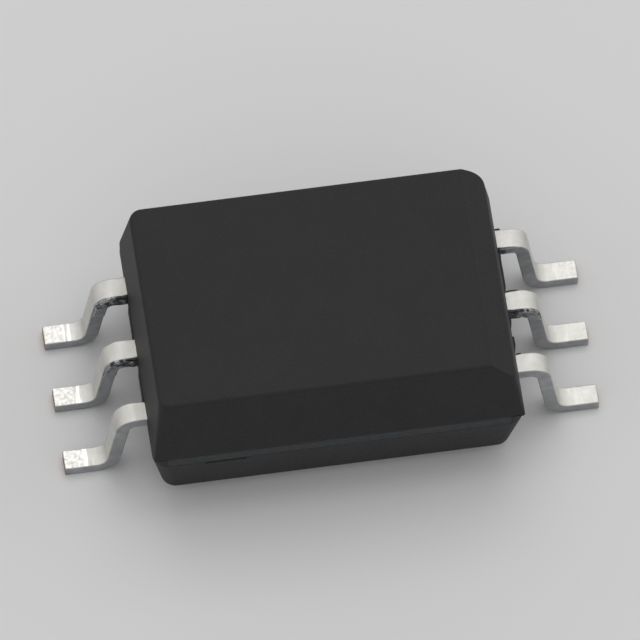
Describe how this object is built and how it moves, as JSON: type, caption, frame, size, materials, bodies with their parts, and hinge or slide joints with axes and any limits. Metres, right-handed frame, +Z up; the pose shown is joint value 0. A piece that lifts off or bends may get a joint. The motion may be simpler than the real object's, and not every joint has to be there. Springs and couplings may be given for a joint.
{
  "type": "wide-body small-outline chip",
  "caption": "Wide-body small-outline chip package with gull-wing leads on two sides, bevelled along one top edge, for soldering flat to a circuit board.",
  "frame": {"origin": "under the middle of the body, on the seating plane that the feet stand on", "axes": "+X from the detector lead row to the emitter lead row with the bevel, +Y along the rows towards leads 3 and 4, +Z up"},
  "size_m": [0.0098, 0.0046, 0.0033],
  "materials": {
    "mould_compound": "fine matte grain of an eroded mould",
    "tin_plate": "matte tin over copper alloy, satin, with forming and trimming marks",
    "silicone": "clear soft silicone",
    "silver_epoxy": "cured silver-filled epoxy",
    "emitter_crystal": "sawn compound semiconductor",
    "silicon": "polished and passivated silicon",
    "gold_wire": "bright drawn gold"
  },
  "bodies": {
    "root": {"body": "mould_compound", "light_guide": "silicone", "lead_1": "tin_plate", "lead_2": "tin_plate", "lead_3": "tin_plate", "lead_4": "tin_plate", "lead_5": "tin_plate", "lead_6": "tin_plate", "emitter_attach": "silver_epoxy", "emitter_die": "emitter_crystal", "emitter_wire": "gold_wire", "detector_attach": "silver_epoxy", "detector_die": "silicon", "supply_wire": "gold_wire", "output_wire_a": "gold_wire", "output_wire_b": "gold_wire", "ground_wire": "gold_wire"}
  },
  "joints": []
}
